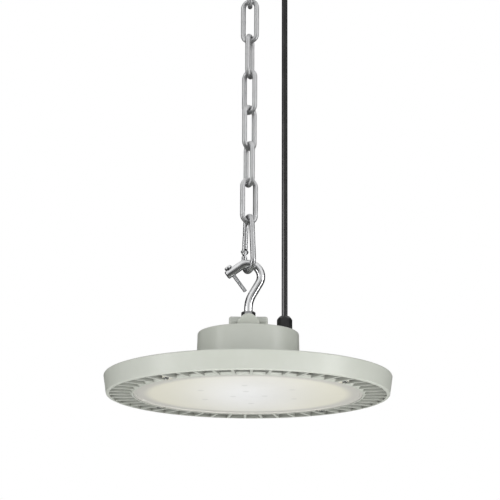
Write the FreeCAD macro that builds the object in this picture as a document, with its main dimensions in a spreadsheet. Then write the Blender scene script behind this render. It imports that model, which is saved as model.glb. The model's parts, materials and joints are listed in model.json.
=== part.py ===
import FreeCAD, Part
import math
import os
import Sketcher

# A round LED high bay light hung by a hook, a snap hook and a welded chain from a
# ceiling plate, with its supply cable running straight up beside the chain.
# Millimetres and degrees, +Z up.  The origin is the middle of the ceiling plate's
# top face, so the light hangs at negative heights.

SIZES = {
    # ceiling plate and the eye that the chain hangs from
    "plate_radius": 58.0,
    "plate_thick": 4.0,
    "plate_edge_round": 1.5,
    "plate_boss_radius": 9.0,
    "plate_boss_tall": 8.0,
    "plate_screw_circle": 46.0,
    "plate_screw_hole": 2.75,
    "plate_screw_turn": 45.0,
    "eye_stud_radius": 4.0,
    "eye_stud_short": 0.5,
    "plate_skin": 1.5,
    "eye_nut_flats": 13.0,
    "eye_nut_tall": 6.5,
    "eye_collar_radius": 7.5,
    "eye_collar_tall": 3.0,
    "eye_ring_radius": 11.0,
    "eye_wire": 6.0,
    # welded chain
    "chain_wire": 5.3,
    "link_opening": 41.25,
    "link_width": 20.5,
    "link_play": 0.25,
    "weld_bead_ring": 2.0,
    "weld_bead_wire": 0.8,
    "link_turn_1": 90.0,
    "link_turn_2": -18.0,
    "link_turn_3": 72.0,
    "link_turn_4": -43.0,
    "link_turn_5": 47.0,
    "link_turn_6": -64.0,
    "link_turn_7": 26.0,
    # snap hook
    "snap_wire": 5.8,
    "snap_length": 65.5,
    "snap_top_spacing": 14.0,
    "snap_foot_spacing": 22.0,
    "snap_turn": -64.0,
    "snap_stub": 6.0,
    "snap_nose": 6.8,
    "tongue_thick": 2.2,
    "tongue_reach": 11.0,
    "tongue_radius": 2.6,
    "nose_neck_thick": 2.2,
    "nose_deep": 2.6,
    "nose_neck_length": 4.4,
    "nose_head_tall": 2.2,
    "nose_head_wide": 4.6,
    "gate_play": 0.35,
    "gate_end_gap": 0.4,
    "gate_wall": 1.2,
    "gate_groove_wide": 1.5,
    "gate_groove_deep": 1.3,
    "rivet_radius": 1.2,
    "rivet_head_radius": 1.9,
    "rivet_head_tall": 0.7,
    "running_play": 0.05,
    # bent hook on the light and its safety screw
    "hook_rod": 9.0,
    "hook_play": 0.4,
    "hook_stud_radius": 4.0,
    "hook_stud_inside": 11.0,
    "hook_shank": 3.9,
    "hook_neck_radius": 30.0,
    "hook_neck_turn": 30.0,
    "hook_rise": 14.4,
    "hook_bend_radius": 13.9,
    "hook_bend_turn": 156.0,
    "hook_tip": 17.2,
    "hook_tip_round": 1.0,
    "hook_nut_flats": 13.0,
    "hook_nut_tall": 7.5,
    "inner_nut_tall": 6.0,
    "screw_inset": 5.9,
    "screw_radius": 2.0,
    "screw_length": 30.0,
    "screw_head_radius": 4.0,
    "screw_head_tall": 2.8,
    "thread_play": 0.1,
    # driver housing
    "housing_radius": 53.0,
    "housing_draft": 1.3,
    "housing_tall": 49.1,
    "housing_wall": 3.0,
    "housing_roof": 4.0,
    "housing_edge_round": 2.0,
    "hub_foot_radius": 13.0,
    "hub_radius": 10.5,
    "hub_tall": 15.4,
    "lobe_nut_gap": 1.0,
    "lobe_reach": 20.3,
    "lobe_width": 23.0,
    "lobe_tall": 18.0,
    "lobe_crown": 9.5,
    "lobe_slope": 45.0,
    "lobe_round": 2.2,
    "housing_boss_inset": 7.5,
    "housing_boss_radius": 5.0,
    "housing_boss_tall": 14.0,
    "housing_screw_turn": 45.0,
    "housing_screw_radius": 2.0,
    "housing_screw_depth": 10.0,
    "housing_head_radius": 3.8,
    "housing_head_tall": 2.2,
    "gasket_thick": 1.5,
    "gasket_edge": 0.8,
    "hole_play": 0.2,
    "head_play": 0.2,
    "thread_spare": 0.4,
    "overrun": 1.0,
    # inside the housing
    "thermal_pad_inset": 3.5,
    "thermal_pad_thick": 1.0,
    "driver_gap": 2.3,
    "driver_tall": 30.0,
    "driver_edge": 2.0,
    "driver_lid_inset": 3.0,
    "driver_lid_tall": 1.0,
    "terminal_long": 16.0,
    "terminal_wide": 9.0,
    "terminal_tall": 12.0,
    "terminal_inset": 8.0,
    # cable and its glands
    "cable_inset": 15.0,
    "cable_radius": 3.15,
    "cable_play": 0.1,
    "gland_flats": 15.0,
    "gland_collar_tall": 5.0,
    "gland_thread_radius": 5.9,
    "gland_spigot": 9.0,
    "gland_stem_radius": 5.0,
    "gland_stem_tall": 6.0,
    "gland_seal_tall": 2.5,
    "gland_cap_flats": 14.0,
    "gland_cap_tall": 13.2,
    "gland_cap_gap": 0.2,
    "gland_cap_crown": 5.1,
    "gland_cap_crown_drop": 2.1,
    "gland_cap_shoulder": 7.0,
    "gland_cap_shoulder_drop": 5.5,
    "gland_nut_flats": 15.0,
    "gland_nut_tall": 4.0,
    "grip_flats": 17.0,
    "grip_collar_tall": 5.0,
    "grip_cone_tall": 11.0,
    "grip_cone_radius": 5.2,
    "grip_top_gap": 0.5,
    # cast body: rim, ribs, fins, plate
    "rim_foot_radius": 147.0,
    "rim_flare": 3.0,
    "rim_tall": 20.0,
    "rim_wall": 3.4,
    "rim_round": 1.4,
    "slot_reach": 24.4,
    "ring_wall": 3.9,
    "ring_bevel": 2.4,
    "base_low": 7.4,
    "base_thick": 4.0,
    "pad_margin": 0.7,
    "pad_tall": 4.0,
    "pad_width": 13.0,
    "blade_thick": 2.7,
    "fin_gap": 3.0,
    "fin_high": 31.0,
    "fin_low": 16.5,
    "short_fin_start": 90.0,
    "blade_count": 24.0,
    "disc_turn": 1.4,
    # lamp under the plate
    "board_margin": 8.7,
    "board_thick": 1.6,
    "board_hole": 5.0,
    "board_screw_inset": 10.0,
    "board_screw_radius": 1.5,
    "board_screw_depth": 2.5,
    "board_head_radius": 2.6,
    "board_head_tall": 1.4,
    "led_size": 3.5,
    "led_tall": 0.7,
    "led_ring_gap": 16.0,
    "led_ring_step": 28.0,
    "lens_thick": 2.6,
    "lens_inset": 0.6,
    "lens_play": 0.3,
    "lens_border": 3.2,
    "lens_step": 0.7,
    "seal_width": 4.0,
    "ear_outset": 2.9,
    "ear_radius": 4.2,
    "ear_turn": 48.75,
    "ear_thick": 1.8,
    "ear_play": 0.3,
    "boss_radius": 4.8,
    "lens_screw_radius": 1.5,
    "lens_screw_depth": 6.0,
    "lens_head_radius": 2.9,
    "lens_head_tall": 1.3,
}
LINKS = 7
UP = FreeCAD.Vector(0, 0, 1)
TINY = 1e-6
NEAR = 0.01
CORNERS = 4
BOARD_SCREWS = 6
LED_RINGS = (36, 24, 12)

doc = FreeCAD.newDocument("high_bay_light")
sheet = doc.addObject("Spreadsheet::Sheet", "sizes")
for row, (alias, number) in enumerate(SIZES.items(), start=1):
    sheet.set(f"A{row}", alias)
    sheet.set(f"B{row}", str(number))
    sheet.setAlias(f"B{row}", alias)
doc.recompute()


class Term:
    """A size: the value it has now, and the sheet formula that keeps it tied."""

    def __init__(self, value, formula):
        self.value = value
        self.formula = formula

    def __add__(self, other):
        other = term(other)
        return Term(self.value + other.value, f"({self.formula} + {other.formula})")

    def __sub__(self, other):
        other = term(other)
        return Term(self.value - other.value, f"({self.formula} - {other.formula})")

    def __mul__(self, other):
        other = term(other)
        return Term(self.value * other.value, f"({self.formula} * {other.formula})")

    def __truediv__(self, other):
        other = term(other)
        return Term(self.value / other.value, f"({self.formula} / {other.formula})")

    def __radd__(self, other):
        return term(other) + self

    def __rsub__(self, other):
        return term(other) - self

    def __rmul__(self, other):
        return term(other) * self

    def __neg__(self):
        return Term(-self.value, f"(0 - {self.formula})")


def term(number):
    if isinstance(number, Term):
        return number
    return Term(float(number), f"({float(number)!r})")


def size(alias):
    return Term(float(sheet.get(alias)), f"sizes.{alias}")


def sine(angle):
    return Term(math.sin(math.radians(angle.value)), f"sin({angle.formula})")


def cosine(angle):
    return Term(math.cos(math.radians(angle.value)), f"cos({angle.formula})")


def root(number):
    return Term(math.sqrt(number.value), f"sqrt({number.formula})")


def bind(thing, name, amount):
    amount = term(amount)
    setattr(thing, name, amount.value)
    thing.setExpression(name, amount.formula)


def place(thing, x=0, y=0, z=0, turn=0, axis=UP):
    """Puts a sub-part at a point, turned about an axis, all tied to the sheet."""
    x, y, z, turn = term(x), term(y), term(z), term(turn)
    spot = FreeCAD.Vector(x.value, y.value, z.value)
    thing.Placement = FreeCAD.Placement(spot, FreeCAD.Rotation(axis, turn.value))
    thing.setExpression(".Placement.Base.x", x.formula)
    thing.setExpression(".Placement.Base.y", y.formula)
    thing.setExpression(".Placement.Base.z", z.formula)
    thing.setExpression(".Placement.Rotation.Angle", turn.formula)


# ---- sketches -------------------------------------------------------------------

def new_body(label, many=False):
    body = doc.addObject("PartDesign::Body", label)
    body.Label = label
    body.AllowCompound = many
    return body


def sketch_on(body, role, lift=0, turned=0):
    """A sketch on one of the body's own planes, lifted along its normal or turned about Z."""
    sketch = body.newObject("Sketcher::SketchObject", "outline")
    plane = [item for item in body.Origin.OriginFeatures if item.Role == role][0]
    sketch.AttachmentSupport = [(plane, "")]
    sketch.MapMode = "FlatFace"
    lift = term(lift)
    sketch.AttachmentOffset = FreeCAD.Placement(UP * lift.value, FreeCAD.Rotation())
    sketch.setExpression(".AttachmentOffset.Base.z", lift.formula)
    turned = term(turned)
    if turned.value:
        swing = FreeCAD.Rotation(FreeCAD.Vector(0, 1, 0), turned.value)
        sketch.AttachmentOffset = FreeCAD.Placement(FreeCAD.Vector(), swing)
        sketch.setExpression(".AttachmentOffset.Rotation.Angle", turned.formula)
    return sketch


def hold(sketch, kind, where, amount):
    """One dimension of a sketch, driven by the sheet."""
    amount = term(amount)
    index = sketch.addConstraint(Sketcher.Constraint(kind, *where, amount.value))
    name = f"size_{index}"
    sketch.renameConstraint(index, name)
    sketch.setExpression(f".Constraints.{name}", amount.formula)


def hold_point(sketch, edge, end, x, y):
    hold(sketch, "DistanceX", (-1, 1, edge, end), x)
    hold(sketch, "DistanceY", (-1, 1, edge, end), y)


def flat(x, y):
    return FreeCAD.Vector(term(x).value, term(y).value, 0)


def draw_loop(sketch, corners):
    """A closed outline of straight edges through the corners, given in order."""
    first = sketch.GeometryCount
    count = len(corners)
    for here in range(count):
        start = flat(*corners[here])
        end = flat(*corners[(here + 1) % count])
        sketch.addGeometry(Part.LineSegment(start, end))
    for here in range(count):
        after = (here + 1) % count
        sketch.addConstraint(Sketcher.Constraint("Coincident", first + here, 2, first + after, 1))
    for here, (x, y) in enumerate(corners):
        hold_point(sketch, first + here, 1, x, y)


def draw_circle(sketch, x, y, radius):
    index = sketch.addGeometry(Part.Circle(flat(x, y), UP, term(radius).value))
    hold_point(sketch, index, 3, x, y)
    hold(sketch, "Radius", (index,), radius)


def draw_line(sketch, start, end):
    index = sketch.addGeometry(Part.LineSegment(flat(*start), flat(*end)))
    hold_point(sketch, index, 1, *start)
    hold_point(sketch, index, 2, *end)
    return index


def draw_arc(sketch, centre, start, end, before, after, left=True):
    """An arc that joins the end of one line to the start of the next."""
    spot = flat(*centre)
    first = flat(*start) - spot
    last = flat(*end) - spot
    if not left:
        first, last = last, first
    begin = math.atan2(first.y, first.x)
    finish = math.atan2(last.y, last.x)
    circle = Part.Circle(spot, UP, first.Length)
    index = sketch.addGeometry(Part.ArcOfCircle(circle, begin, finish))
    near, far = (1, 2) if left else (2, 1)
    sketch.addConstraint(Sketcher.Constraint("Coincident", before, 2, index, near))
    sketch.addConstraint(Sketcher.Constraint("Coincident", index, far, after, 1))
    return index


# ---- features -------------------------------------------------------------------

def volume(body):
    return 0.0 if body.Shape.isNull() else body.Shape.Volume


def pad(body, sketch, length, taper=0, both_ways=False):
    feature = body.newObject("PartDesign::Pad", "pad")
    feature.Profile = sketch
    bind(feature, "Length", length)
    feature.SideType = "Symmetric" if both_ways else "One side"
    if term(taper).value:
        bind(feature, "TaperAngle", taper)
    doc.recompute()
    return feature


def pocket(body, sketch, depth, upwards=False, both_ways=False):
    before = volume(body)
    feature = body.newObject("PartDesign::Pocket", "pocket")
    feature.Profile = sketch
    bind(feature, "Length", depth)
    feature.Reversed = upwards
    feature.SideType = "Symmetric" if both_ways else "One side"
    doc.recompute()
    if volume(body) > before - TINY:
        raise RuntimeError(f"a pocket of {body.Label} cut nothing")
    return feature


def turn_solid(body, corners):
    """A solid of revolution about Z; corners are (radius, height)."""
    sketch = sketch_on(body, "XZ_Plane")
    draw_loop(sketch, corners)
    feature = body.newObject("PartDesign::Revolution", "turned")
    feature.Profile = sketch
    feature.ReferenceAxis = (sketch, ["V_Axis"])
    feature.Angle = 360
    doc.recompute()
    return feature


def turn_away(body, corners):
    """Cuts a ring of the given (radius, height) section from the body."""
    before = volume(body)
    sketch = sketch_on(body, "XZ_Plane")
    draw_loop(sketch, corners)
    feature = body.newObject("PartDesign::Groove", "groove")
    feature.Profile = sketch
    feature.ReferenceAxis = (sketch, ["V_Axis"])
    feature.Angle = 360
    doc.recompute()
    if volume(body) > before - TINY:
        raise RuntimeError(f"a groove of {body.Label} cut nothing")
    return feature


def repeat(body, feature, count):
    """Repeats a feature round the body's own Z axis."""
    before = volume(body)
    pattern = body.newObject("PartDesign::PolarPattern", "round")
    pattern.Originals = [feature]
    spindle = [item for item in body.Origin.OriginFeatures if item.Role == "Z_Axis"][0]
    pattern.Axis = (spindle, [""])
    pattern.Angle = 360
    pattern.Occurrences = count
    body.Tip = pattern
    doc.recompute()
    if abs(volume(body) - before) < TINY:
        raise RuntimeError(f"a pattern of {body.Label} changed nothing")
    return pattern


def fillet(body, radius, chosen):
    """Rounds the edges of the body for which chosen(edge) is true."""
    base = body.Tip
    names = [f"Edge{n}" for n, edge in enumerate(base.Shape.Edges, start=1) if chosen(edge)]
    if not names:
        raise RuntimeError(f"no edge of {body.Label} to round")
    feature = body.newObject("PartDesign::Fillet", "rounded")
    feature.Base = (base, names)
    bind(feature, "Radius", radius)
    doc.recompute()
    return feature


def pipe(body, path, radius):
    """A round bar bent along the path sketch."""
    profile = body.newObject("Sketcher::SketchObject", "section")
    profile.AttachmentSupport = [(path, "Edge1")]
    profile.MapMode = "NormalToEdge"
    profile.MapPathParameter = 0.0
    draw_circle(profile, 0, 0, radius)
    doc.recompute()
    feature = body.newObject("PartDesign::AdditivePipe", "bar")
    feature.Profile = profile
    feature.Spine = (path, [])
    doc.recompute()
    return feature


def on_circle(edge, radius, height=None):
    """True for a round edge about Z with this radius, at this height."""
    curve = edge.Curve
    if curve.TypeId != "Part::GeomCircle" or abs(curve.Radius - radius.value) > 0.01:
        return False
    if math.hypot(curve.Center.x, curve.Center.y) > 0.01:
        return False
    return height is None or abs(curve.Center.z - height.value) < 0.01


def hexagon(flats, middle=0):
    """The six corners of a hexagon of the given width across its flats."""
    reach = flats / math.sqrt(3.0)
    corners = []
    for step in range(6):
        angle = math.radians(60.0 * step)
        corners.append((middle + reach * math.cos(angle), reach * math.sin(angle)))
    return corners


def hex_piece(body, flats, tall, hole, low=0):
    """A hexagonal prism with a hole, standing on the given height."""
    sketch = sketch_on(body, "XY_Plane", low)
    draw_loop(sketch, hexagon(flats))
    draw_circle(sketch, 0, 0, hole)
    return pad(body, sketch, tall)


def dull_corners(body, flats, low, tall, top=True, foot=True):
    """Turns the corners of a nut down to its flats at each end."""
    half = flats / 2
    corner = flats / math.sqrt(3.0)
    drop = (corner - half) / 2
    past = corner + half / 4
    rise = drop * (past - half) / (corner - half)
    if top:
        edge = low + tall
        over = edge + size("overrun")
        turn_away(body, [(half, edge), (past, edge - rise), (past, over), (half, over)])
    if foot:
        under = low - size("overrun")
        turn_away(body, [(half, low), (half, under), (past, under), (past, low + rise)])


def nut(label, flats, tall, hole):
    body = new_body(label)
    hex_piece(body, flats, tall, hole)
    dull_corners(body, flats, term(0), tall)
    return body


def screw_section(shank, length, head, head_tall, crown=0.55):
    """A pan head screw, pointing down from the seat of its head at height zero."""
    return [
        (0, -length),
        (shank * 0.6, -length),
        (shank, -length + shank * 0.5),
        (shank, 0),
        (head, 0),
        (head, head_tall * crown),
        (head * 0.62, head_tall),
        (0, head_tall),
    ]


def shifted(corners, x, z=0, over=False):
    """The same corners moved; over turns the piece upside down."""
    flip = -1 if over else 1
    return [(x + r, z + flip * h) for r, h in corners]


def spin(body, sketch, corners, start, end):
    """Revolves an outline about the construction line from start to end."""
    draw_loop(sketch, corners)
    spindle = sketch.addGeometry(Part.LineSegment(flat(*start), flat(*end)), True)
    hold_point(sketch, spindle, 1, *start)
    hold_point(sketch, spindle, 2, *end)
    feature = body.newObject("PartDesign::Revolution", "turned")
    feature.Profile = sketch
    feature.ReferenceAxis = (sketch, ["Axis0"])
    feature.Angle = 360
    doc.recompute()
    return feature


def screws(label, circle, count, section):
    """Like screws on a circle, as separate solids of one sub-part."""
    body = new_body(label, many=True)
    sketch = sketch_on(body, "XZ_Plane")
    feature = spin(body, sketch, shifted(section, circle), (circle, 0), (circle, 1))
    repeat(body, feature, count)
    return body


# ---- levels, from the ceiling down ----------------------------------------------

plate_low = -size("plate_thick")
boss_low = plate_low - size("plate_boss_tall")
eye_nut_low = boss_low - size("eye_nut_tall")
collar_low = eye_nut_low - size("eye_collar_tall")
eye_middle = collar_low - size("eye_ring_radius")
eye_seat = eye_middle - size("eye_ring_radius")

chain_radius = size("chain_wire") / 2
bend_radius = (size("link_width") - size("chain_wire")) / 2
link_reach = size("link_opening") + size("chain_wire")
first_top = eye_seat + (size("eye_wire") + size("chain_wire")) / 2 + size("link_play")
link_step = size("link_opening") - size("link_play")
last_foot = first_top - link_reach - link_step * (LINKS - 1)

snap_radius = size("snap_wire") / 2
snap_top = last_foot + (size("snap_wire") + size("chain_wire")) / 2 + size("link_play")
snap_foot = snap_top - (size("snap_length") - size("snap_wire"))

rod_radius = size("hook_rod") / 2
hook_heading = 90 - size("hook_neck_turn")
tip_heading = hook_heading + size("hook_bend_turn")
hook_inner_top = snap_foot + snap_radius + size("hook_play")
hook_centre_z = hook_inner_top - size("hook_bend_radius") + rod_radius

snap_foot_bend = size("snap_foot_spacing") / 2
snap_top_bend = size("snap_top_spacing") / 2
snap_rise = size("snap_length") - size("snap_wire") - snap_foot_bend - snap_top_bend
snap_lean = (snap_foot_bend - snap_top_bend) / snap_rise
snap_plumb = root(1 - snap_lean * snap_lean)
snap_side = snap_rise * snap_plumb

neck_turn = size("hook_neck_turn")
neck_end = (
    size("hook_neck_radius") * (1 - cosine(neck_turn)),
    size("hook_neck_radius") * sine(neck_turn),
)
rise_end = (
    neck_end[0] + size("hook_rise") * sine(neck_turn),
    neck_end[1] + size("hook_rise") * cosine(neck_turn),
)
bend_centre = (
    rise_end[0] - size("hook_bend_radius") * cosine(neck_turn),
    rise_end[1] + size("hook_bend_radius") * sine(neck_turn),
)
bend_angle = tip_heading - 90
bend_end = (
    bend_centre[0] + size("hook_bend_radius") * cosine(bend_angle),
    bend_centre[1] + size("hook_bend_radius") * sine(bend_angle),
)


def along_tip(distance):
    """A point of the hook's straight tip, measured from its bend."""
    return (
        bend_end[0] + distance * cosine(tip_heading),
        bend_end[1] + distance * sine(tip_heading),
    )


hook_neck_z = hook_centre_z - bend_centre[1]
hub_top = hook_neck_z - size("hook_shank") - size("hook_nut_tall")
housing_top = hub_top - size("hub_tall")
roof_low = housing_top - size("housing_roof")
housing_low = housing_top - size("housing_tall")
base_top_z = size("base_low") + size("base_thick")
pad_top_z = base_top_z + size("pad_tall")
disc_low = housing_low - size("gasket_thick") - pad_top_z
plate_under = size("base_low")
lens_top_z = size("lens_inset") + size("lens_thick")

housing_foot = size("housing_radius") + size("housing_draft")
boss_circle = housing_foot - size("housing_boss_inset")
pad_radius = housing_foot + size("pad_margin")
cable_x = size("housing_radius") - size("cable_inset")
driver_radius = boss_circle - size("housing_boss_radius") - size("driver_gap")
rim_foot = size("rim_foot_radius")
rim_top = rim_foot + size("rim_flare")
ring_radius = rim_foot - size("slot_reach")
ring_inner = ring_radius - size("ring_wall")
lens_radius = ring_inner - size("lens_play")
board_radius = ring_inner - size("board_margin")
board_screw_circle = board_radius - size("board_screw_inset")
ear_circle = ring_radius + size("ear_outset")
fin_start = pad_radius + size("fin_gap")
ear_low_z = lens_top_z - size("ear_thick")


# ---- ceiling fitting --------------------------------------------------------------

def ceiling_plate():
    body = new_body("ceiling_plate")
    hole = size("eye_stud_radius") + size("thread_play")
    turn_solid(body, [
        (0, 0),
        (size("plate_radius"), 0),
        (size("plate_radius"), plate_low),
        (size("plate_boss_radius"), plate_low),
        (size("plate_boss_radius"), boss_low),
        (hole, boss_low),
        (hole, -size("plate_skin")),
        (0, -size("plate_skin")),
    ])
    screw_hole = sketch_on(body, "XY_Plane")
    turned = size("plate_screw_turn")
    x = size("plate_screw_circle") * cosine(turned)
    y = size("plate_screw_circle") * sine(turned)
    draw_circle(screw_hole, x, y, size("plate_screw_hole"))
    repeat(body, pocket(body, screw_hole, size("plate_thick")), CORNERS)
    cable_hole = sketch_on(body, "XY_Plane")
    draw_circle(cable_hole, cable_x, 0, size("gland_thread_radius") + size("hole_play"))
    pocket(body, cable_hole, size("plate_thick"))
    fillet(body, size("plate_edge_round"), lambda edge: on_circle(edge, size("plate_radius"), plate_low))
    return body


def ceiling_eye():
    body = new_body("ceiling_eye")
    stud_top = -size("plate_skin") - size("eye_stud_short")
    stud = size("eye_stud_radius")
    turn_solid(body, [
        (0, stud_top),
        (stud * 0.8, stud_top),
        (stud, stud_top - stud * 0.2),
        (stud, eye_nut_low),
        (size("eye_collar_radius"), eye_nut_low),
        (size("eye_collar_radius"), collar_low),
        (0, collar_low),
    ])
    ring = body.newObject("PartDesign::AdditiveTorus", "ring")
    bind(ring, "Radius1", size("eye_ring_radius"))
    bind(ring, "Radius2", size("eye_wire") / 2)
    place(ring, z=eye_middle, turn=90, axis=FreeCAD.Vector(1, 0, 0))
    doc.recompute()
    return body


def eye_lock_nut():
    hole = size("eye_stud_radius") + size("thread_play")
    body = nut("eye_lock_nut", size("eye_nut_flats"), size("eye_nut_tall"), hole)
    place(body, z=eye_nut_low)
    return body


def ceiling_cord_grip():
    body = new_body("ceiling_cord_grip")
    bore = size("cable_radius") + size("cable_play")
    collar = plate_low - size("grip_collar_tall")
    hex_piece(body, size("grip_flats"), size("grip_collar_tall"), bore, collar)
    dull_corners(body, size("grip_flats"), collar, size("grip_collar_tall"), top=False)
    turn_solid(body, [
        (bore, plate_low),
        (size("gland_thread_radius"), plate_low),
        (size("gland_thread_radius"), -size("grip_top_gap")),
        (bore, -size("grip_top_gap")),
    ])
    foot = collar - size("grip_cone_tall")
    turn_solid(body, [
        (bore, collar),
        (size("grip_flats") / 2, collar),
        (size("grip_cone_radius"), foot),
        (bore, foot),
    ])
    place(body, x=cable_x)
    return body


# ---- chain and snap hook ------------------------------------------------------------

def chain_link(number):
    body = new_body(f"chain_link_{number}")
    path = sketch_on(body, "XZ_Plane")
    low = bend_radius
    high = link_reach - bend_radius
    left = draw_line(path, (-bend_radius, high), (-bend_radius, low))
    right = draw_line(path, (bend_radius, low), (bend_radius, high))
    foot = draw_arc(path, (0, low), (-bend_radius, low), (bend_radius, low), left, right)
    top = draw_arc(path, (0, high), (bend_radius, high), (-bend_radius, high), right, left)
    hold(path, "DistanceY", (-1, 1, foot, 3), low)
    hold(path, "DistanceY", (-1, 1, top, 3), high)
    doc.recompute()
    pipe(body, path, chain_radius)
    bead = body.newObject("PartDesign::AdditiveTorus", "weld")
    bind(bead, "Radius1", size("weld_bead_ring"))
    bind(bead, "Radius2", size("weld_bead_wire"))
    place(bead, x=-bend_radius, z=link_reach / 2)
    doc.recompute()
    link_foot = first_top - link_reach - link_step * (number - 1)
    place(body, z=link_foot, turn=size(f"link_turn_{number}"))
    return body


def gate_point(across, distance):
    """A point beside the gate's line; across grows towards the solid leg."""
    across, distance = term(across), term(distance)
    return (
        distance * snap_lean + across * snap_plumb - snap_foot_bend * snap_plumb,
        distance * snap_plumb - across * snap_lean + snap_foot_bend + snap_foot_bend * snap_lean,
    )


def gate_box(near, far, low, high):
    return [gate_point(near, low), gate_point(far, low), gate_point(far, high), gate_point(near, high)]


hinge = gate_point(0, size("tongue_reach"))
nose_end = snap_side - size("snap_nose")
head_high = nose_end - size("nose_neck_length")
head_low = head_high - size("nose_head_tall")
gate_top = nose_end - size("gate_end_gap")
gate_low = size("tongue_reach") - snap_radius
rivet_hole = size("rivet_radius") + size("running_play")


def snap_hook_body():
    body = new_body("snap_hook_body")
    path = sketch_on(body, "XZ_Plane")
    foot = (0, snap_foot_bend)
    top = (0, snap_foot_bend + snap_rise)
    foot_left = gate_point(0, 0)
    foot_right = (-foot_left[0], foot_left[1])
    top_left = gate_point(0, snap_side)
    top_right = (-top_left[0], top_left[1])
    stub = draw_line(path, gate_point(0, size("snap_stub")), foot_left)
    leg = draw_line(path, foot_right, top_right)
    nose = draw_line(path, top_left, gate_point(0, nose_end))
    foot_arc = draw_arc(path, foot, foot_left, foot_right, stub, leg)
    top_arc = draw_arc(path, top, top_right, top_left, leg, nose)
    hold(path, "DistanceY", (-1, 1, foot_arc, 3), foot[1])
    hold(path, "DistanceY", (-1, 1, top_arc, 3), top[1])
    doc.recompute()
    pipe(body, path, snap_radius)
    tongue = sketch_on(body, "XZ_Plane")
    wide = size("tongue_radius")
    draw_loop(tongue, gate_box(-wide, wide, size("snap_stub") - size("overrun"), size("tongue_reach")))
    pad(body, tongue, size("tongue_thick"), both_ways=True)
    tip = sketch_on(body, "XZ_Plane")
    draw_circle(tip, *hinge, wide)
    pad(body, tip, size("tongue_thick"), both_ways=True)
    eye = sketch_on(body, "XZ_Plane")
    draw_circle(eye, *hinge, rivet_hole)
    pocket(body, eye, size("tongue_thick") * 2, both_ways=True)
    half = size("nose_deep") / 2
    neck = sketch_on(body, "XZ_Plane")
    draw_loop(neck, gate_box(-half, half, head_low, nose_end + size("overrun")))
    pad(body, neck, size("nose_neck_thick"), both_ways=True)
    head = sketch_on(body, "XZ_Plane")
    draw_loop(head, gate_box(-half, half, head_low, head_high))
    pad(body, head, size("nose_head_wide"), both_ways=True)
    place(body, z=snap_foot, turn=size("snap_turn"))
    return body


def snap_hook_gate():
    body = new_body("snap_hook_gate")
    path = sketch_on(body, "XZ_Plane")
    draw_line(path, gate_point(0, gate_low), gate_point(0, gate_top))
    doc.recompute()
    pipe(body, path, snap_radius)
    play = size("gate_play")
    outside = snap_radius * 1.5
    inner_wall = snap_radius - size("gate_wall")
    tongue_slot = sketch_on(body, "XZ_Plane")
    slot_top = size("tongue_reach") + size("tongue_radius") + play
    draw_loop(tongue_slot, gate_box(-outside, outside, gate_low - size("overrun"), slot_top))
    pocket(body, tongue_slot, size("tongue_thick") + 2 * play, both_ways=True)
    pin_hole = sketch_on(body, "XZ_Plane")
    draw_circle(pin_hole, *hinge, rivet_hole)
    pocket(body, pin_hole, size("snap_wire") * 2, both_ways=True)
    neck_slot = sketch_on(body, "XZ_Plane")
    draw_loop(neck_slot, gate_box(-outside, inner_wall, head_low - play, gate_top + size("overrun")))
    pocket(body, neck_slot, size("nose_neck_thick") + 2 * play, both_ways=True)
    head_slot = sketch_on(body, "XZ_Plane")
    draw_loop(head_slot, gate_box(-outside, inner_wall, head_low - play, head_high + play))
    pocket(body, head_slot, size("snap_wire") * 2, both_ways=True)
    groove = sketch_on(body, "XZ_Plane")
    bottom = size("gate_groove_deep") - snap_radius
    groove_low = slot_top + size("overrun")
    groove_high = head_low - play - size("overrun")
    draw_loop(groove, gate_box(-outside, bottom, groove_low, groove_high))
    pocket(body, groove, size("gate_groove_wide"), both_ways=True)
    place(body, z=snap_foot, turn=size("snap_turn"))
    return body


def snap_hook_rivet():
    body = new_body("snap_hook_rivet")
    sketch = sketch_on(body, "XY_Plane", hinge[1])
    half = snap_radius + size("gate_play")
    end = half + size("rivet_head_tall")
    shank = size("rivet_radius")
    head = size("rivet_head_radius")
    outline = [(0, -end), (shank, -end), (head, -half), (shank, -half), (shank, half), (head, half)]
    outline += [(shank, end), (0, end)]
    corners = [(hinge[0] + x, y) for x, y in outline]
    spin(body, sketch, corners, (hinge[0], 0), (hinge[0], 1))
    place(body, z=snap_foot, turn=size("snap_turn"))
    return body


# ---- hook of the light ----------------------------------------------------------------

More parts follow.
